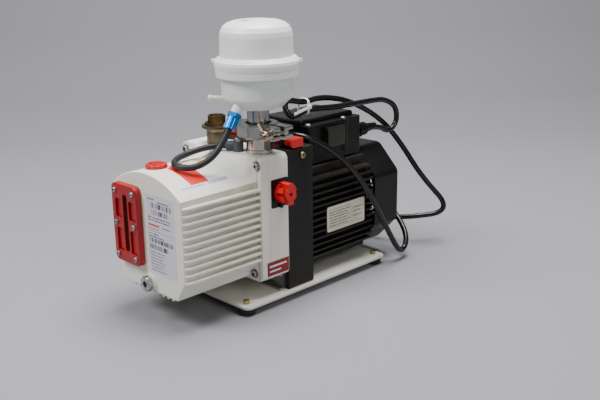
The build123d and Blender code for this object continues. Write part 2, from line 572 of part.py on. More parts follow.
def carry_handle():
    arm = block(64.6, 77.3, HANDLE_Y, -25, HANDLE_Z - 5.3, HANDLE_Z + 5.3)
    arm += rod_x(HANDLE_Y, HANDLE_Z, 64.6, 77.3, 5.3)
    body = block(-77.3, 77.3, -35.5, -25, HANDLE_Z - 5.3, HANDLE_Z + 5.3)
    for side in (arm, mirror(arm, Plane.YZ)):
        body += side
    body = fillet(body.edges().filter_by(Axis.Z), 2)
    body += rod_x(HANDLE_Y, HANDLE_Z, 56.0, 66, 2.0)
    body += rod_x(HANDLE_Y, HANDLE_Z, -66, -56.0, 2.0)
    save("carry_handle", body)


def shaft_coupling():
    parts = []
    for y0, y1 in ((-48, -34), (-27, -13)):
        hub = rod_y(0, SHAFT_Z, y0, y1, 18)
        hub -= rod_y(0, SHAFT_Z, y0 - 1, y1 + 1, SHAFT_R)
        parts.append(hub)
    spider = rod_y(0, SHAFT_Z, -34, -27, 16.5)
    save("shaft_coupling", parts[0], parts[1], spider)


# --- motor --------------------------------------------------------------------------------------------
def motor_section(half, r):
    return Pos(0, SHAFT_Z) * RectangleRounded(2 * half, 2 * half, r)


def motor_housing():
    core = ext_y(motor_section(65, 33), LANTERN_END, MOTOR_END)
    ribs = []
    for i in range(-6, 7):
        o = i * 9.0
        ribs.append(block(-80, 80, LANTERN_END, MOTOR_END - 4, SHAFT_Z + o - 1.3, SHAFT_Z + o + 1.3))
        ribs.append(block(o - 1.3, o + 1.3, LANTERN_END, MOTOR_END - 4, SHAFT_Z - 80, SHAFT_Z + 80))
    outer = ext_y(motor_section(MOTOR_HALF, 37), LANTERN_END, MOTOR_END)
    body = core
    for rib in ribs:
        body += rib & outer
    body += block(60, 72.4, 21, 102, 70, 109)
    body += block(-44, 44, BOX_Y0 + 2, BOX_Y1 - 2, 150, BOX_Z0)
    body -= block(72.4, 80, 20, 103, 70, 109)
    body -= block(-56, 56, BOX_Y0 - 1, BOX_Y1 + 1, BOX_Z0, 180)
    body -= rod_y(0, SHAFT_Z, LANTERN_END + 7, MOTOR_END - 8, 54)
    body -= rod_y(0, SHAFT_Z, LANTERN_END - 1, MOTOR_END + 1, 13)
    save("motor_housing", body)
    plate = ext_x(Pos(61.5, 89.5) * RectangleRounded(77, 35.5, 3.5), 72.4, 72.8)
    save("motor_nameplate", plate)


def motor_inside():
    stator = rod_y(0, SHAFT_Z, 12, 98, 54) - rod_y(0, SHAFT_Z, 0, 110, 33)
    save("motor_stator", stator)
    core = rod_y(0, SHAFT_Z, 14, 96, 32.5)
    shaft = rod_y(0, SHAFT_Z, -24, 160, 7.0) + rod_y(0, SHAFT_Z, -24, -9, SHAFT_R)
    save("motor_rotor", core + shaft)
    rings = []
    for y0, y1 in ((-9.4, -3), (114.2, 121.8)):
        inner = SHAFT_R if y0 < 0 else 7.0
        inner = 7.0
        a = -9.0 if y0 < 0 else y0
        rings.append(rod_y(0, SHAFT_Z, a, y1, 13) - rod_y(0, SHAFT_Z, a - 1, y1 + 1, inner + 0.05))
    save("motor_bearings", *rings)


def cooling_fan():
    hub = rod_y(0, SHAFT_Z, 138, 158, 14)
    fan = hub + (rod_y(0, SHAFT_Z, 138, 140.5, 50))
    for i in range(9):
        blade = Pos(0, 149, SHAFT_Z) * Rot(0, i * 40, 0) * Pos(32, 0, 0) * Box(44, 18, 2)
        fan += blade
    fan -= rod_y(0, SHAFT_Z, 130, 170, 7.0)
    save("cooling_fan", fan)


def cover_section(grow):
    w, c, d = 73.5 + grow, 37.0 + grow * 0.4, 38.0 + grow * 0.4
    h = 74.0 + grow
    z = SHAFT_Z
    outline = Polygon((-w, z - c), (-d, z - h), (d, z - h), (w, z - c), (w, z + c), (d, z + h),
                      (-d, z + h), (-w, z + c), align=None)
    return fillet(outline.vertices(), 14)


def fan_cover():
    body = ext_y(cover_section(0), MOTOR_END, COVER_END)
    body = fillet(body.edges().filter_by(lambda e: e.center().Y > COVER_END - 0.1), 6)
    body -= ext_y(cover_section(-2.5), MOTOR_END - 1, COVER_END - 3)
    for i in range(1, 6):
        r = 8.5 + i * 8.5
        ring = rod_y(0, SHAFT_Z, COVER_END - 5, COVER_END + 2, r)
        body -= ring - rod_y(0, SHAFT_Z, COVER_END - 6, COVER_END + 3, r - 4.6)
    for i in range(4):
        body += Pos(0, COVER_END - 1.5, SHAFT_Z) * Rot(0, i * 45, 0) * Box(104, 3, 3.2)
    save("fan_cover", body)


# --- terminal box, switch and mains cord ------------------------------------------------------------------
def terminal_box():
    sketch = Pos(0, (BOX_Y0 + BOX_Y1) / 2) * RectangleRounded(2 * BOX_X, BOX_Y1 - BOX_Y0, 5)
    body = ext_z(sketch, BOX_Z0, BOX_Z1)
    inside = Pos(0, (BOX_Y0 + BOX_Y1) / 2) * RectangleRounded(2 * BOX_X - 6, BOX_Y1 - BOX_Y0 - 6, 3)
    body -= ext_z(inside, BOX_Z0 + 3, BOX_Z1 + 1)
    for x, y in BOX_SCREWS:
        body += rod_z(x, y, BOX_Z0 + 8, BOX_Z1, 6.8)
        body -= rod_z(x, y, BOX_Z1 - 14, BOX_Z1 + 1, 2.05)
    # switch bezel on the right wall
    y0, y1, z0, z1 = 41.0, 76.5, 184.0, 213.0
    body += block(BOX_X - 1, BOX_X + 1.6, y0, y1, z0, z1)
    body -= block(BOX_X - 10, BOX_X + 5, 49.0, 69.0, 188.0, 208.0)
    # cable gland hole
    body -= rod_y(*GLAND, BOX_Y1 - 10, BOX_Y1 + 5, 7.05)
    save("terminal_box", body)
    lid = ext_z(sketch, BOX_Z1, BOX_Z1 + 3)
    tray = ext_z(Pos(0, (BOX_Y0 + BOX_Y1) / 2) * RectangleRounded(74, BOX_Y1 - BOX_Y0 - 4, 4),
                 BOX_Z1 + 3, BOX_Z1 + 9)
    tray = fillet(tray.edges().group_by(Axis.Z)[-1], 3)
    lid += tray
    for x, y in BOX_SCREWS:
        lid += rod_z(x, y, BOX_Z1, BOX_Z1 + 3, 6.8)
        lid -= rod_z(x, y, BOX_Z1 - 1, BOX_Z1 + 5, 2.05)
    save("terminal_lid", lid)
    screw = dome_screw(4.2, 3.2, 2.0, 15)
    save("lid_screws", *[Pos(x, y, BOX_Z1 + 3) * screw for x, y in BOX_SCREWS])


def power_switch():
    pivot_z = 198.0
    shape = Polygon((44.0, -8.4), (50.4, -8.4), (51.0, 0), (53.6, 8.4), (44.0, 8.4), align=None)
    rocker = extrude(Plane(origin=(0, 68.4, pivot_z), x_dir=(1, 0, 0), z_dir=(0, -1, 0)) * shape, 18.8)
    save("rocker_switch", rocker)
    flap = block(BOX_X + 1.9, BOX_X + 8.5, 41.5, 76.0, 184.5, 212.0)
    flap = fillet(flap.edges().filter_by(lambda e: e.center().X > BOX_X + 8.4), 1.5)
    flap -= block(BOX_X, BOX_X + 6.9, 43.5, 74.0, 186.5, 209.0)
    save("switch_flap", flap)


def cable_gland():
    x, z = GLAND
    thread = rod_y(x, z, BOX_Y1 - 8, BOX_Y1, 7.0)
    hexa = extrude(Plane.XZ.offset(-(BOX_Y1 + 7)) * Pos(x, z) * RegularPolygon(11, 6), 7)
    dome = rod_y(x, z, BOX_Y1 + 7, BOX_Y1 + 19, 9.5)
    dome = fillet(dome.edges().filter_by(lambda e: e.center().Y > BOX_Y1 + 18.9), 3)
    sleeve = Pos(x, BOX_Y1 + 19 + 11, z) * Rot(-90, 0, 0) * Cone(6.8, 5.0, 22)
    body = thread + hexa + dome + sleeve
    body -= rod_y(x, z, BOX_Y1 - 20, BOX_Y1 + 60, CORD_R)
    save("cable_gland", body)


HANK_X, HANK_Y, HANK_LENGTH, HANK_WIDTH, HANK_HEIGHT = -126.5, 135.0, 160.0, 72.0, 20.5
HANK_ENTRY_X = -103.5
HANK_ENTRY_Y = 59.6

CORD_ROUTE = [
    (GLAND[0], 116.0, GLAND[1]), (GLAND[0], 166.0, GLAND[1]), (41.0, 190.0, 180.0),
    (43.0, 208.0, 194.0), (42.0, 205.0, 218.0), (38.0, 184.0, 230.0), (36.8, 160.0, 232.0),
    (34.0, 84.0, 232.5), (31.0, 28.0, 237.5), (33.0, 8.0, 232.0), (32.5, -3.5, 231.5),
    (27.5, -9.4, 241.5), (22.5, -3.5, 251.5), (22.0, 8.0, 251.0), (24.0, 28.0, 245.5),
    (20.0, 70.0, 247.5), (20.0, 128.0, 234.0),
    (24.0, 192.0, 199.0), (38.0, 224.0, 158.0), (62.0, 245.0, 106.0), (102.0, 276.0, 50.0),
    (50.0, 222.0, 41.0), (-10.0, 208.0, 34.0), (-62.0, 208.0, 32.0), (-92.0, 206.0, 52.0),
    (-92.0, 202.0, 88.0), (-62.0, 198.0, 108.0), (-10.0, 196.0, 98.0), (42.0, 197.0, 66.0),
    (88.0, 184.0, 31.0), (93.0, 160.0, 7.0), (90.0, 130.0, 56.0), (88.0, 85.0, 128.0),
    (80.0, 51.0, 170.0), (71.0, 13.0, 200.0), (58.0, -15.0, 213.0), (16.0, -17.0, 207.5),
    (-40.0, -17.0, 208.5), (-66.0, -17.0, 214.0), (-98.0, -12.0, 204.0),
    (-110.0, 4.0, 164.0), (-108.0, 18.0, 104.0), (-104.0, 28.0, 48.0),
    (-103.5, 44.0, 15.0), (HANK_ENTRY_X, HANK_ENTRY_Y, 10.0)]


def power_cord():
    tube = swept(CORD_ROUTE, CORD_R, 60)
    save("power_cord", tube)
    # the spare cord, folded into a tied hank on the ground on the far side
    slot = Pos(HANK_X, HANK_Y) * SlotOverall(HANK_LENGTH, HANK_WIDTH, rotation=90)
    hole = Pos(HANK_X, HANK_Y) * SlotOverall(HANK_LENGTH - 46, HANK_WIDTH - 46, rotation=90)
    hank = ext_z(slot, 0.3, HANK_HEIGHT) - ext_z(hole, -1, 30)
    hank = fillet(hank.edges(), 6)
    save("cord_hank", hank)
    z = HANK_HEIGHT + 10
    body = ext_y(Pos(HANK_X, z) * RectangleRounded(26, 18, 7), 62, 100)
    plug = body + rod_y(HANK_X - 9, z, 43, 62, 2.4) + rod_y(HANK_X + 9, z, 43, 62, 2.4)
    plug += Pos(HANK_X, 112, z) * Rot(-90, 0, 0) * Cone(6.5, 4.6, 24)
    plug -= rod_y(HANK_X, z, 96, 128, CORD_R)
    save("mains_plug", plug)
    outer = plate_xz(27.4, 241.4, 20.2, 22.6, 6, 24, 27)
    band = outer - plate_xz(27.4, 241.4, 18.2, 20.6, 5, 23, 28)
    band += block(36.9, 40.8, 23, 28, 239.2, 243.6)
    band += Pos(40.2, 9, 238.6) * Rot(9.5, 0, 4) * Box(1.1, 30, 3.2)
    save("cable_tie", band)


for step in (base_plate, rubber_feet, foot_screws, support_bracket, oil_case, flat_gaskets,
             case_screws, sight_window, oil_plugs, pump_block, pump_cylinder,
             exhaust_valve, rotor, shaft_seal, gas_ballast, inlet_port, exhaust_port, clamp_jaws,
             wing_nut, exhaust_filter, drain_fitting, oil_return_hose, lantern, carry_handle,
             shaft_coupling, motor_housing, motor_inside, cooling_fan, fan_cover, terminal_box,
             power_switch, cable_gland, power_cord):
    step()
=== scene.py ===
from math import cos, pi, radians, sin

import bpy
from mathutils import Matrix, Vector


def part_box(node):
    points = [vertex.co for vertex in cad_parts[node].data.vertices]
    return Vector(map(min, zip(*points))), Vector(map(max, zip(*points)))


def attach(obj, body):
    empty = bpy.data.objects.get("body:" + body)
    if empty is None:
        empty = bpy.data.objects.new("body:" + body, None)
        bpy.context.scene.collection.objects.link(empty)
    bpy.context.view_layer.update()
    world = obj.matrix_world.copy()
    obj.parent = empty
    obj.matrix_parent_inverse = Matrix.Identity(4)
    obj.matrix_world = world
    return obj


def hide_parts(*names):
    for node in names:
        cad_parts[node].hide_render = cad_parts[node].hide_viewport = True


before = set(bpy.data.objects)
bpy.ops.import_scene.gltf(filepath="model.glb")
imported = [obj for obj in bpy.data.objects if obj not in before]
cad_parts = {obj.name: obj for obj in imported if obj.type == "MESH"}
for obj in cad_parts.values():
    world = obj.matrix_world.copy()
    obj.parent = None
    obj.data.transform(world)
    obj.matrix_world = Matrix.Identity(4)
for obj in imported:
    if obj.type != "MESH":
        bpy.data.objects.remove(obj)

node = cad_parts
scene = bpy.context.scene
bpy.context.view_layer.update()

# ---- Camera ------------------------------------------------------------------------------
# Stands to the right of the oil case and a little above it, looking back along the pump.
# The roll is under two degrees, and a small lens shift moves the pump to the left.
azimuth, pitch, roll = radians(46.69), radians(16.71), radians(-1.28)
aim, distance = Vector((0.0, -0.0036, 0.1114)), 1.1898
back = Vector((sin(azimuth) * cos(pitch), -cos(azimuth) * cos(pitch), sin(pitch)))
right = (-back).cross(Vector((0, 0, 1))).normalized()
up = right.cross(-back)
right, up = cos(roll) * right + sin(roll) * up, cos(roll) * up - sin(roll) * right
facing = Matrix((right, up, back)).transposed().to_4x4()
camera = bpy.data.objects.new("camera", bpy.data.cameras.new("camera"))
camera.data.lens = 51.27
camera.data.sensor_width = 36.0
camera.data.shift_x = 0.0402
camera.data.shift_y = -0.0017
camera.data.clip_end = 20.0
camera.matrix_world = Matrix.Translation(aim + back * distance) @ facing
scene.collection.objects.link(camera)
scene.camera = camera


# ---- Mains cord --------------------------------------------------------------------------
# One 8 mm cord from the gland: a tied fold on the terminal box, a long loop behind the
# motor, over the lantern to the far side, and the spare length as a tied hank on the ground.
def cord_curve(name, points, radius):
    """One smooth open spline through the route, in mm; each point's radius is the cord's."""
    curve = bpy.data.curves.new(name, "CURVE")
    curve.dimensions = "3D"
    curve.bevel_depth = 1.0
    curve.bevel_resolution = 6
    curve.resolution_u = 16
    curve.use_fill_caps = True
    spline = curve.splines.new("NURBS")
    spline.points.add(len(points) - 1)
    for knot, point in zip(spline.points, points):
        knot.co = (*(along / 1000 for along in point), 1.0)
        knot.radius = radius
    spline.order_u = 3
    spline.use_endpoint_u = True
    cord = bpy.data.objects.new(name, curve)
    scene.collection.objects.link(cord)
    return cord


mains_route = [
    (40.0, 116.0, 195.0), (40.0, 166.0, 195.0), (41.0, 190.0, 180.0),
    (43.0, 208.0, 194.0), (42.0, 205.0, 218.0), (38.0, 184.0, 230.0), (36.8, 160.0, 232.0),
    (34.0, 84.0, 232.5), (31.0, 28.0, 237.5), (33.0, 8.0, 232.0), (32.5, -3.5, 231.5),
    (27.5, -9.4, 241.5), (22.5, -3.5, 251.5), (22.0, 8.0, 251.0), (24.0, 28.0, 245.5),
    (20.0, 70.0, 247.5), (20.0, 128.0, 234.0),
    (24.0, 192.0, 199.0), (38.0, 224.0, 158.0), (62.0, 245.0, 106.0), (102.0, 276.0, 50.0),
    (50.0, 222.0, 41.0), (-10.0, 208.0, 34.0), (-62.0, 208.0, 32.0), (-92.0, 206.0, 52.0),
    (-92.0, 202.0, 88.0), (-62.0, 198.0, 108.0), (-10.0, 196.0, 98.0), (42.0, 197.0, 66.0),
    (88.0, 184.0, 31.0), (93.0, 160.0, 7.0), (90.0, 130.0, 56.0), (88.0, 85.0, 128.0),
    (80.0, 51.0, 170.0), (71.0, 13.0, 200.0), (58.0, -15.0, 213.0), (16.0, -17.0, 207.5),
    (-40.0, -17.0, 208.5), (-66.0, -17.0, 214.0), (-98.0, -12.0, 204.0),
    (-110.0, 4.0, 164.0), (-108.0, 18.0, 104.0), (-104.0, 28.0, 48.0),
    (-103.5, 44.0, 15.0), (-101.0, 72.0, 4.6)]

# Two and a half turns of the hank: the first outside, the second a cord's width inside it,
# the last half turn on top of the second. The end then bends round into the plug's back.
hank_low, hank_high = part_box("cord_hank")
hank_x, hank_y = [500 * (hank_low[i] + hank_high[i]) for i in (0, 1)]
outer_turn = 500 * (hank_high[0] - hank_low[0]) - 4.2
half_run = 500 * (hank_high[1] - hank_low[1] - hank_high[0] + hank_low[0])
on_ground, one_inside, one_above = 4.6, 8.8, 8.7
before_bend = 6.2
turns, steps = 3, 16
for turn in range(turns):
    for i in range(steps if turn < turns - 1 else steps // 2):
        share = turn + i / steps
        reach = outer_turn - one_inside * min(1.0, max(0.0, 2 * share - 1))
        high = on_ground + one_above * min(1.0, max(0.0, 2 * share - 3))
        angle = 2 * pi * (i + 0.5) / steps
        end = 1 if sin(angle) > 0 else -1
        bend_y = hank_y + end * half_run
        run_y = bend_y - end * before_bend
        side_x = hank_x + (reach if cos(angle) > 0 else -reach)
        if i % (steps // 2) == 0:
            mains_route.append((side_x, run_y, high))
        mains_route.append((hank_x + reach * cos(angle), bend_y + reach * sin(angle), high))
        if i % (steps // 2) == steps // 2 - 1:
            mains_route.append((side_x, run_y, high))
plug_low, plug_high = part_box("mains_plug")
plug_x = 500 * (plug_low[0] + plug_high[0])
plug_y = 1000 * plug_high[1]
plug_z = 500 * (plug_low[2] + plug_high[2])
mains_route += [(plug_x - 20.5, plug_y + 38, 17.0), (plug_x - 7, plug_y + 24, 26.0),
                (plug_x, plug_y + 10, plug_z), (plug_x, plug_y - 2, plug_z),
                (plug_x, plug_y - 20, plug_z)]
mains_cord = cord_curve("mains_cord", mains_route, 0.004)
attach(mains_cord, "pump")
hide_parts("power_cord", "cord_hank")

# ---- Oil return hose -----------------------------------------------------------------------
# Soft 8 mm hose from the blue fitting under the filter, one loose loop lying on the case
# roof, back to the grey elbow on the platform.
hose_route = [
    (53.7, -125.0, 245.8), (54.8, -144.4, 215.5), (43.0, -170.0, 196.0), (21.0, -188.0, 196.2),
    (-4.0, -173.0, 197.6), (-13.0, -141.0, 201.0), (-1.0, -113.0, 206.5), (17.5, -98.2, 207.5)]
oil_hose = cord_curve("oil_hose", hose_route, 0.004)
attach(oil_hose, "pump")
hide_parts("oil_return_hose")


# ---- Floor and light -----------------------------------------------------------------------
# Pale grey floor that curves up into a backdrop; one large soft key from the upper left,
# a weaker fill from the right and an overhead panel for the long highlights on the cord.
def linear(red, green, blue):
    """A colour as a paint chart gives it, 0 to 255, in the shader's own linear values."""
    parts = [c / 255 for c in (red, green, blue)]
    return tuple(p / 12.92 if p <= 0.04045 else ((p + 0.055) / 1.055) ** 2.4
                 for p in parts) + (1,)


sweep = [(-2.2, 0.0), (0.9, 0.0), (1.25, 0.03), (1.6, 0.18), (1.85, 0.5), (1.95, 1.0),
         (1.95, 2.6)]
half_width = 3.5
square_on = Matrix.Rotation(azimuth, 3, "Z")
corners = [square_on @ Vector((x, y, z)) for y, z in sweep for x in (-half_width, half_width)]
floor_mesh = bpy.data.meshes.new("floor")
floor_mesh.from_pydata(corners, [], [(2 * i, 2 * i + 1, 2 * i + 3, 2 * i + 2)
                                     for i in range(len(sweep) - 1)])
floor_mesh.polygons.foreach_set("use_smooth", [True] * len(floor_mesh.polygons))
floor = bpy.data.objects.new("floor", floor_mesh)
scene.collection.objects.link(floor)
paper = bpy.data.materials.new("floor_paper")
paper.use_nodes = True
shade = paper.node_tree.nodes["Principled BSDF"]
shade.inputs["Base Color"].default_value = linear(140, 140, 143)
shade.inputs["Roughness"].default_value = 0.85
floor_mesh.materials.append(paper)

world = bpy.data.worlds.new("studio")
world.use_nodes = True
world.node_tree.nodes["Background"].inputs["Color"].default_value = (0.80, 0.83, 0.88, 1)
world.node_tree.nodes["Background"].inputs["Strength"].default_value = 0.17
scene.world = world


def softbox(name, place, aim, width, height, power, tint=(1, 1, 1)):
    light = bpy.data.lights.new(name, "AREA")
    light.shape = "RECTANGLE"
    light.size, light.size_y = width, height
    light.energy = power
    light.color = tint
    lamp = bpy.data.objects.new(name, light)
    lamp.location = place
    lamp.rotation_euler = (Vector(aim) - Vector(place)).to_track_quat("-Z", "Y").to_euler()
    scene.collection.objects.link(lamp)


softbox("key", (-0.5, -1.5, 1.9), (0, 0, 0.12), 0.9, 0.9, 50)
softbox("fill", (1.9, -0.2, 1.2), (0, 0, 0.12), 0.9, 0.9, 10, (0.95, 0.97, 1))
softbox("top", (0.1, 0.2, 1.9), (0, 0, 0.1), 1.2, 1.0, 66)

# ---- Shared finish group -------------------------------------------------------------------
# Two close tones broken up by cloudy noise, fine grain as bump, and a dust mask that settles
# on upward faces. It gives a colour and a normal only; each material has its own shader.
finish = bpy.data.node_groups.new("finish", "ShaderNodeTree")
face = finish.interface
for label, kind in (("Tone", "NodeSocketColor"), ("Second tone", "NodeSocketColor"),
                    ("Dust tone", "NodeSocketColor"), ("Cloud scale", "NodeSocketFloat"),
                    ("Grain scale", "NodeSocketFloat"), ("Grain depth", "NodeSocketFloat"),
                    ("Dust", "NodeSocketFloat"), ("Edge wear", "NodeSocketFloat")):
    face.new_socket(name=label, in_out="INPUT", socket_type=kind)
face.new_socket(name="Color", in_out="OUTPUT", socket_type="NodeSocketColor")
face.new_socket(name="Normal", in_out="OUTPUT", socket_type="NodeSocketVector")


def ramp(tree, source, low, high):
    """0 where source is low, 1 where it is high."""
    step = tree.nodes.new("ShaderNodeMapRange")
    step.inputs["From Min"].default_value = low
    step.inputs["From Max"].default_value = high
    tree.links.new(source, step.inputs["Value"])
    return step.outputs["Result"]


def product(tree, first, second):
    """High only where both are high."""
    times = tree.nodes.new("ShaderNodeMath")
    times.operation = "MULTIPLY"
    tree.links.new(first, times.inputs[0])
    tree.links.new(second, times.inputs[1])
    return times.outputs["Value"]


def noise(tree, detail, scale=None):
    """Cloudy noise that keeps its place on the piece when the piece moves."""
    here = tree.nodes.new("ShaderNodeTexCoord")
    speckle = tree.nodes.new("ShaderNodeTexNoise")
    speckle.inputs["Detail"].default_value = detail
    if scale:
        speckle.inputs["Scale"].default_value = scale
    tree.links.new(here.outputs["Object"], speckle.inputs["Vector"])
    return speckle


def mixed(tree, share, under, over):
    """under where share is 0, over where it is 1; over is a socket or a plain colour."""
    blend = tree.nodes.new("ShaderNodeMix")
    blend.data_type = "RGBA"
    tree.links.new(share, blend.inputs["Factor"])
    tree.links.new(under, blend.inputs["A"])
    if isinstance(over, tuple):
        blend.inputs["B"].default_value = over
    else:
        tree.links.new(over, blend.inputs["B"])
    return blend.outputs["Result"]


wire = finish.links.new
entry = finish.nodes.new("NodeGroupInput")
leave = finish.nodes.new("NodeGroupOutput")
cloud = noise(finish, 5.0)
wire(entry.outputs["Cloud scale"], cloud.inputs["Scale"])
tone = mixed(finish, ramp(finish, cloud.outputs["Fac"], 0.36, 0.66),
             entry.outputs["Tone"], entry.outputs["Second tone"])
surface = finish.nodes.new("ShaderNodeNewGeometry")
worn = product(finish, ramp(finish, surface.outputs["Pointiness"], 0.53, 0.62),
               entry.outputs["Edge wear"])
split = finish.nodes.new("ShaderNodeSeparateXYZ")
wire(surface.outputs["Normal"], split.inputs["Vector"])
specks = noise(finish, 8.0, 55.0)
specks.inputs["Roughness"].default_value = 0.7
settled = product(finish, ramp(finish, split.outputs["Z"], 0.35, 1.0), specks.outputs["Fac"])
dusty = finish.nodes.new("ShaderNodeMath")
dusty.operation = "MULTIPLY_ADD"
dusty.use_clamp = True
wire(settled, dusty.inputs[0])
wire(entry.outputs["Dust"], dusty.inputs[1])
wire(worn, dusty.inputs[2])
grain = noise(finish, 3.0)
wire(entry.outputs["Grain scale"], grain.inputs["Scale"])
relief = finish.nodes.new("ShaderNodeBump")
relief.inputs["Distance"].default_value = 0.0004
wire(grain.outputs["Fac"], relief.inputs["Height"])
wire(entry.outputs["Grain depth"], relief.inputs["Strength"])
wire(mixed(finish, dusty.outputs["Value"], tone, entry.outputs["Dust tone"]),
     leave.inputs["Color"])
wire(relief.outputs["Normal"], leave.inputs["Normal"])


# ---- Base plate, feet and bracket ----------------------------------------------------------
# Cream enamelled steel plate on four black rubber feet, held by yellow passivated screws.
# The bracket that carries the pump block is milled aluminium, like the clamp's jaws.
def made_of(name, tone, second, dust_tone=(150, 145, 132), cloud_scale=14.0, grain_scale=900.0,
            grain_depth=0.15, dust=0.0, edge_wear=0.0, rough=(0.4, 0.5), **sockets):
    """A material on the shared group: tones from 0 to 255, roughness varying in smears."""
    material = bpy.data.materials.new(name)
    material.use_nodes = True
    nodes, link = material.node_tree.nodes, material.node_tree.links.new
    shader = nodes["Principled BSDF"]
    group = nodes.new("ShaderNodeGroup")
    group.node_tree = finish
    group.name = "finish"
    for label, value in (("Tone", linear(*tone)), ("Second tone", linear(*second)),
                         ("Dust tone", linear(*dust_tone)), ("Cloud scale", cloud_scale),
                         ("Grain scale", grain_scale), ("Grain depth", grain_depth),
                         ("Dust", dust), ("Edge wear", edge_wear)):
        group.inputs[label].default_value = value
    link(group.outputs["Color"], shader.inputs["Base Color"])
    link(group.outputs["Normal"], shader.inputs["Normal"])
    smear = noise(material.node_tree, 6.0, 38.0)
    sheen = ramp(material.node_tree, smear.outputs["Fac"], 0.3, 0.7).node
    sheen.inputs["To Min"].default_value = rough[0]
    sheen.inputs["To Max"].default_value = rough[1]
    link(sheen.outputs["Result"], shader.inputs["Roughness"])
    for label, value in sockets.items():
        shader.inputs[label.replace("_", " ")].default_value = value
    return material


def dress(material, *names):
    """Gives the named pieces one material in place of their plain one."""
    for name in names:
        mesh = node[name].data
        mesh.materials.clear()
        mesh.materials.append(material)


enamel_plate = made_of("enamel_plate", (232, 229, 219), (222, 218, 206), (196, 190, 172),
                       cloud_scale=9, grain_scale=500, grain_depth=0.10, dust=0.25,
                       rough=(0.34, 0.46))
dress(enamel_plate, "base_plate")
rubber = made_of("rubber", (28, 28, 29), (36, 36, 36), (88, 85, 78), dust=0.2, grain_scale=1400,
                 grain_depth=0.2, rough=(0.5, 0.65))
dress(rubber, "rubber_feet", "shaft_seal", "centering_ring")
yellow_zinc = made_of("yellow_zinc", (190, 172, 118), (156, 138, 96), cloud_scale=160,
                      rough=(0.28, 0.42), Metallic=1.0)
dress(yellow_zinc, "foot_screws", "flange_screws")
milled = made_of("milled_aluminium", (186, 187, 188), (166, 167, 168), (120, 112, 96),
                 cloud_scale=70, grain_scale=260, grain_depth=0.12, dust=0.15, edge_wear=0.2,
                 rough=(0.22, 0.38), Metallic=1.0)
dress(milled, "support_bracket", "clamp_jaw_far", "clamp_jaw_near", "shaft_coupling")


# ---- Oil case and pump block ---------------------------------------------------------------
# Cream paint on a casting: a soft orange-peel skin, an old oil stain deep between the side
# fins that is stronger near the joint, and a thin dusty film on top.
def paint_over(material, share, colour):
    """Lays a second colour over the finish where share is 1."""
    tree = material.node_tree
    under = tree.nodes["finish"].outputs["Color"]
    tree.links.new(mixed(tree, share, under, colour),
                   tree.nodes["Principled BSDF"].inputs["Base Color"])


def part_axes(tree):
    """Distances along the pump's own X, Y and Z, in metres."""
    here = tree.nodes.new("ShaderNodeTexCoord")
    axes = tree.nodes.new("ShaderNodeSeparateXYZ")
    tree.links.new(here.outputs["Object"], axes.inputs["Vector"])
    return axes.outputs


enamel_case = made_of("enamel_case", (236, 234, 224), (229, 226, 214), (206, 200, 184),
                      cloud_scale=7, grain_scale=320, grain_depth=0.22, dust=0.18,
                      rough=(0.36, 0.5))
case_tree = enamel_case.node_tree
axes = part_axes(case_tree)
stain = product(case_tree, ramp(case_tree, axes["X"], 0.0738, 0.0700),
                ramp(case_tree, axes["X"], 0.0680, 0.0695))
stain = product(case_tree, stain, ramp(case_tree, axes["Y"], -0.225, -0.115))
stain = product(case_tree, stain, noise(case_tree, 4.0, 42.0).outputs["Fac"])
paint_over(enamel_case, stain, linear(158, 142, 84))
dress(enamel_case, "oil_case", "pump_block")
gasket = made_of("gasket_sheet", (208, 202, 180), (188, 180, 152), rough=(0.6, 0.8))
dress(gasket, "flat_gaskets")

# ---- Labels on the oil case ----------------------------------------------------------------
# Thin printed film pressed onto the paint: a lilac-white data label with bars and plain rules,
# an orange-red strip over the roof, a pale strip above the fins. Nothing on them can be read.
film = {
    "paper": made_of("label_paper", (214, 208, 222), (206, 200, 214), (170, 160, 150),
                     cloud_scale=20, grain_depth=0.02, edge_wear=0.1, rough=(0.3, 0.42)),
    "ink": made_of("label_ink", (52, 50, 60), (70, 68, 78), cloud_scale=300, rough=(0.4, 0.5)),
    "red": made_of("label_red", (226, 40, 22), (214, 34, 20), (180, 60, 40), cloud_scale=60,
                   rough=(0.3, 0.42)),
    "dark_red": made_of("label_dark_red", (146, 14, 24), (130, 10, 20), rough=(0.34, 0.46)),
    "pale": made_of("label_pale", (236, 234, 240), (228, 226, 234), rough=(0.26, 0.36)),
    "faint": made_of("label_faint", (188, 186, 194), (176, 174, 184), cloud_scale=200,
                     rough=(0.4, 0.5)),
    "yellow": made_of("label_yellow", (206, 178, 66), (190, 160, 56), rough=(0.34, 0.46))}


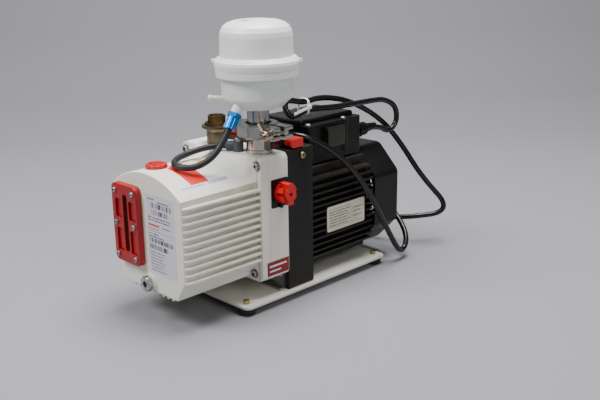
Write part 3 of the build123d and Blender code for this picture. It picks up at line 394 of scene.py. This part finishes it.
def sticker(name, corner, across, upward, patches, cast=None):
    """Patches of (left, low, width, height, film) in mm on a plane, or cast onto the case."""
    corner, across, upward = Vector(corner), Vector(across), Vector(upward)
    outward = across.cross(upward).normalized()
    base_lift, print_lift, cell, cast_from = 0.00012, 0.0002, 2.5, 0.05
    points, faces, used, order = [], [], [], []
    for left, low, width, height, kind in patches:
        if kind not in order:
            order.append(kind)
        lift = base_lift if order.index(kind) == 0 else print_lift
        wide, tall = [max(1, round(size / cell)) if cast else 1 for size in (width, height)]
        start = len(points)
        for j in range(tall + 1):
            for i in range(wide + 1):
                spot = corner + (across * (left + width * i / wide)
                                 + upward * (low + height * j / tall)) / 1000
                if cast:
                    beam = Vector(cast)
                    hit, landed, _, _ = node["oil_case"].ray_cast(spot - beam * cast_from, beam)
                    spot = landed if hit else spot
                    points.append(spot - beam * lift)
                else:
                    points.append(spot + outward * lift)
        for j in range(tall):
            for i in range(wide):
                a = start + j * (wide + 1) + i
                faces.append((a, a + 1, a + wide + 2, a + wide + 1))
                used.append(order.index(kind))
    mesh = bpy.data.meshes.new(name)
    mesh.from_pydata(points, [], faces)
    for kind in order:
        mesh.materials.append(film[kind])
    mesh.polygons.foreach_set("material_index", used)
    patch = bpy.data.objects.new(name, mesh)
    scene.collection.objects.link(patch)
    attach(patch, "pump")


def rules(left, low, width, seed, height=1.3):
    """A row of short printed dashes; their widths come from a fixed sum, not from chance."""
    dashes, at, k = [], left, seed
    while at < left + width:
        k = (k * 37 + 11) % 101
        length = 2.0 + k % 7
        dashes.append((at, low, min(length, left + width - at), height, "ink"))
        at += length + 0.9
    return dashes


def bars(left, low, width, height, seed):
    """Upright printed bars of uneven width."""
    strips, at, k = [], left, seed
    while at < left + width:
        k = (k * 29 + 7) % 97
        strips.append((at, low, 0.5 + (k % 3) * 0.5, height, "ink"))
        at += 1.3 + (k % 4) * 0.45
    return strips


front = [(0, 0, 56, 101, "paper")]
front += rules(3, 95, 14, 5) + rules(24, 93, 22, 9) + bars(10, 85, 40, 6.5, 3)
front += bars(10, 76.5, 34, 6.0, 8)
front += rules(3, 72, 44, 13) + rules(3, 68.6, 44, 21)
front += [(3, 62, 22, 2.2, "red")] + rules(31, 62, 16, 4) + rules(3, 58, 20, 31, 0.8)
front += [(3, 55.2, 50, 0.4, "ink")] + rules(3, 51, 5, 2) + rules(12, 51, 11, 17)
front += rules(3, 47.5, 30, 23) + bars(4, 40.5, 46, 5.5, 6) + bars(4, 32, 36, 6.0, 11)
for row in range(7):
    front += rules(4, 27.5 - 3.9 * row, 30 - 3 * (row % 3), 3 + 5 * row, 1.0)
sticker("front_label", (0.0005, -0.2205, 0.0665), (1, 0, 0), (0, 0, 1), front)
sticker("roof_label", (-0.002, -0.190, 0.2), (1, 0, 0), (0, 1, 0),
        [(0, 0, 54, 27, "red")] + rules(33, 6, 14, 7, 1.0), cast=(0, 0, -1))
sticker("yellow_label", (-0.004, -0.143, 0.21), (1, 0, 0), (0, 1, 0),
        [(0, 0, 14, 12, "yellow")], cast=(0, 0, -1))
sticker("side_strip", (0.080, -0.212, 0.1745), (0, 1, 0), (0, 0, 1),
        [(0, 0, 90, 9, "pale"), (6, 3.4, 34, 1.6, "faint"), (46, 3.4, 30, 2.6, "faint")],
        cast=(-1, 0, 0))
sticker("block_label", (0.0773, -0.094, 0.042), (0, 1, 0), (0, 0, 1),
        [(0, 0, 38.5, 19, "dark_red"), (4, 11.5, 30, 2.4, "pale"), (4, 5.0, 20, 2.0, "pale")])

# ---- Screws and drain plug -----------------------------------------------------------------
# Zinc-plated steel screws of the case, the sight glass and the terminal lid, and the turned
# drain plug. The plating is finely mottled, with a little dust on its upward faces.
zinc = made_of("zinc", (186, 188, 190), (150, 152, 152), (96, 92, 84), cloud_scale=180,
               grain_scale=700, dust=0.15, edge_wear=0.1, rough=(0.24, 0.42), Metallic=1.0)
dress(zinc, "case_screws", "sight_screws", "lid_screws", "oil_drain_plug")

# ---- Sight glass ---------------------------------------------------------------------------
# Deep red moulded frame with satin faces, screwed over the gauge glass.
# The glass behind its slot is dark, with a slight amber of old oil.
red_frame = made_of("red_frame", (158, 4, 14), (140, 2, 11), (188, 30, 34), cloud_scale=24,
                    grain_scale=1300, grain_depth=0.12, edge_wear=0.3, rough=(0.3, 0.42))
dress(red_frame, "sight_frame")
glass_oil = made_of("sight_glass", (58, 44, 24), (38, 28, 16), cloud_scale=40, grain_depth=0.0,
                    rough=(0.06, 0.12), Coat_Weight=0.6, Coat_Roughness=0.04)
dress(glass_oil, "sight_glass")

# ---- Red plug, knob and handle -------------------------------------------------------------
# Bright red moulded plastic: the oil fill plug, the six-lobed gas ballast knob and the lifting
# handle pinned in the lantern's sides. A little worn and paler on the edges.
red_plastic = made_of("red_plastic", (204, 8, 10), (186, 5, 9), (214, 50, 42), cloud_scale=26,
                      grain_scale=1500, grain_depth=0.1, edge_wear=0.25, rough=(0.26, 0.4))
dress(red_plastic, "oil_fill_plug", "ballast_knob", "carry_handle")

# ---- Ports, clamp and hose fittings --------------------------------------------------------
# Turned stainless exhaust parts; the inlet is stained brown and its threaded nipple tarnished.
# The clamp's bolt and wing nut are nickel-plated, the hose ends blue anodised and grey plastic.
turned_steel = made_of("turned_steel", (196, 194, 188), (150, 146, 138), (90, 76, 54),
                       cloud_scale=26, grain_depth=0.05, rough=(0.12, 0.26), Metallic=1.0)
dress(turned_steel, "exhaust_port", "exhaust_tube")
stained = made_of("stained_steel", (132, 122, 104), (98, 86, 66), (70, 58, 42), cloud_scale=44,
                  edge_wear=0.1, dust=0.3, rough=(0.28, 0.5), Metallic=1.0)
dress(stained, "inlet_port")
tarnish = made_of("tarnished_brass", (92, 70, 38), (56, 43, 27), (44, 36, 26), cloud_scale=90,
                  dust=0.2, rough=(0.3, 0.5), Metallic=1.0)
nodes, link = tarnish.node_tree.nodes, tarnish.node_tree.links.new
where = nodes.new("ShaderNodeTexCoord")
thread = nodes.new("ShaderNodeTexWave")
thread.bands_direction = "Z"
thread.inputs["Scale"].default_value = 180.0
link(where.outputs["Object"], thread.inputs["Vector"])
thread_cut = nodes.new("ShaderNodeBump")
thread_cut.inputs["Strength"].default_value = 0.9
thread_cut.inputs["Distance"].default_value = 0.0012
link(thread.outputs["Fac"], thread_cut.inputs["Height"])
link(thread_cut.outputs["Normal"], nodes["Principled BSDF"].inputs["Normal"])
dress(tarnish, "inlet_nipple")
nickel = made_of("nickel", (206, 196, 176), (170, 158, 136), (110, 98, 78), cloud_scale=120,
                 grain_scale=600, grain_depth=0.2, edge_wear=0.2, rough=(0.16, 0.3), Metallic=1.0)
dress(nickel, "swing_bolt", "wing_nut")
blue = made_of("blue_anodised", (18, 138, 214), (10, 118, 196), (120, 200, 236), cloud_scale=60,
               grain_scale=900, edge_wear=0.35, rough=(0.24, 0.36), Metallic=0.65)
dress(blue, "hose_fitting")
grey_plastic = made_of("grey_plastic", (66, 72, 78), (56, 62, 68), (116, 120, 124),
                       edge_wear=0.2, rough=(0.42, 0.55))
dress(grey_plastic, "hose_elbow")
hose_rubber = made_of("hose_rubber", (26, 27, 30), (20, 21, 23), (62, 62, 62), cloud_scale=60,
                      grain_scale=1500, grain_depth=0.12, dust=0.25, rough=(0.42, 0.56))
oil_hose.data.materials.append(hose_rubber)

# ---- Exhaust filter ------------------------------------------------------------------------
# Milky polyethylene bowl that lets a little light through, under a white lid, with pale
# fibre inside. The bowl's rim is as white as the lid; grey flecks of worn print lie on top.
milky = made_of("milky_plastic", (250, 248, 242), (243, 240, 231), (216, 206, 182),
                cloud_scale=16, grain_scale=700, grain_depth=0.08, rough=(0.26, 0.38),
                Transmission_Weight=0.12, Subsurface_Weight=0.3, Subsurface_Scale=0.008,
                IOR=1.45)
rim = ramp(milky.node_tree, part_axes(milky.node_tree)["Z"], 0.2925, 0.2935)
paint_over(milky, rim, linear(250, 250, 248))
dress(milky, "filter_bowl")
white_lid = made_of("white_plastic", (250, 250, 248), (245, 245, 242), (226, 224, 216),
                    cloud_scale=12, grain_scale=900, grain_depth=0.06, rough=(0.3, 0.4),
                    Subsurface_Weight=0.15, Subsurface_Scale=0.004)
dress(white_lid, "drain_nipple", "cable_tie")
lid_skin = white_lid.copy()
lid_skin.name = "lid_plastic"
lid_tree = lid_skin.node_tree
flecks = ramp(lid_tree, noise(lid_tree, 6.0, 75.0).outputs["Fac"], 0.56, 0.62)
here = lid_tree.nodes.new("ShaderNodeTexCoord")
apart = lid_tree.nodes.new("ShaderNodeVectorMath")
apart.operation = "DISTANCE"
apart.inputs[1].default_value = (0.040, -0.092, 0.364)
lid_tree.links.new(here.outputs["Object"], apart.inputs[0])
rubbed = product(lid_tree, flecks, ramp(lid_tree, apart.outputs["Value"], 0.024, 0.012))
paint_over(lid_skin, rubbed, linear(150, 142, 136))
dress(lid_skin, "filter_lid")
fibre = made_of("filter_fibre", (224, 220, 206), (206, 200, 182), grain_scale=400,
                grain_depth=0.8, rough=(0.8, 0.95))
dress(fibre, "filter_element")

# ---- Lantern and motor ---------------------------------------------------------------------
# Satin black paint on cast aluminium, the lantern joining the pump block to the ribbed motor.
# Grey-brown dust lies along the ribs and on the flat top of the lantern.
black_paint = made_of("black_paint", (4, 4, 5), (8, 8, 8), (52, 46, 38), cloud_scale=22,
                      grain_scale=420, grain_depth=0.22, dust=0.4, edge_wear=0.3,
                      rough=(0.36, 0.5), Specular_IOR_Level=0.26)
dress(black_paint, "motor_flange", "motor_housing")

# ---- Fan cover, terminal box and switch ----------------------------------------------------
# Black moulded plastic, slightly glossier than the paint. The switch sits under a
# smoke-coloured clear flap.
black_plastic = made_of("black_plastic", (5, 5, 6), (9, 9, 10), (56, 54, 50), cloud_scale=20,
                        grain_scale=1100, grain_depth=0.25, dust=0.16, edge_wear=0.08,
                        rough=(0.3, 0.44), Specular_IOR_Level=0.28)
dress(black_plastic, "fan_cover", "terminal_box", "terminal_lid", "cable_gland",
      "ballast_plate", "rocker_switch", "cooling_fan")
smoke = made_of("smoky_flap", (92, 88, 66), (74, 70, 52), cloud_scale=30, grain_depth=0.05,
                rough=(0.12, 0.24), Transmission_Weight=0.8, IOR=1.46)
dress(smoke, "switch_flap")

# ---- Cord sheath and plug ------------------------------------------------------------------
# Glossy black plastic sheath, moulded in one with the plug at its far end.
# Only faint dust lies on it.
cord_skin = made_of("cord_skin", (9, 9, 10), (13, 13, 14), (50, 50, 50), cloud_scale=50,
                    grain_scale=1200, grain_depth=0.06, dust=0.08, rough=(0.2, 0.32))
mains_cord.data.materials.append(cord_skin)
dress(cord_skin, "mains_plug")

# ---- Motor nameplate -----------------------------------------------------------------------
# Thin cream enamelled plate on a flat pad among the motor's ribs, printed with plain rules
# and dashes. It carries no words and no figures.
cream = made_of("cream_plate", (222, 217, 196), (210, 204, 180), (170, 160, 134),
                cloud_scale=30, edge_wear=0.2, rough=(0.36, 0.5))
dress(cream, "motor_nameplate")
plate_low, plate_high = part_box("motor_nameplate")
print_rows = [(3, 30.5, 44, 0.5, "ink"), (3, 5.0, 70, 0.4, "ink"), (50, 8, 0.4, 20, "ink")]
for row in range(6):
    print_rows += rules(4, 26.5 - 3.9 * row, 42 - 5 * (row % 2), 7 + 3 * row, 1.2)
for low, width, seed in ((24, 18, 19), (18.5, 15, 29), (12, 18, 8)):
    print_rows += rules(53, low, width, seed, 1.2)
sticker("nameplate_print", (plate_high.x, plate_low.y, plate_low.z), (0, 1, 0), (0, 0, 1),
        print_rows)

# ---- Inside pieces -------------------------------------------------------------------------
# Machined cast iron cylinder, ground steel rotor and shaft pieces, brown resin vanes
# and varnished motor laminations. They show only where a cover is off.
iron = made_of("machined_iron", (112, 112, 112), (94, 93, 92), cloud_scale=60, grain_scale=500,
               rough=(0.36, 0.5), Metallic=1.0)
dress(iron, "pump_cylinder", "cylinder_end_plate")
ground = made_of("ground_steel", (178, 178, 178), (156, 156, 156), cloud_scale=80,
                 rough=(0.2, 0.32), Metallic=1.0)
dress(ground, "pump_rotor", "motor_rotor", "motor_bearings", "vane_springs", "exhaust_valve")
resin = made_of("vane_resin", (92, 62, 38), (74, 50, 30), cloud_scale=120, rough=(0.4, 0.55))
dress(resin, "vane_left", "vane_right")
varnish = made_of("laminations", (120, 92, 66), (96, 74, 54), cloud_scale=90, grain_scale=1800,
                  grain_depth=0.5, rough=(0.36, 0.5))
dress(varnish, "motor_stator")
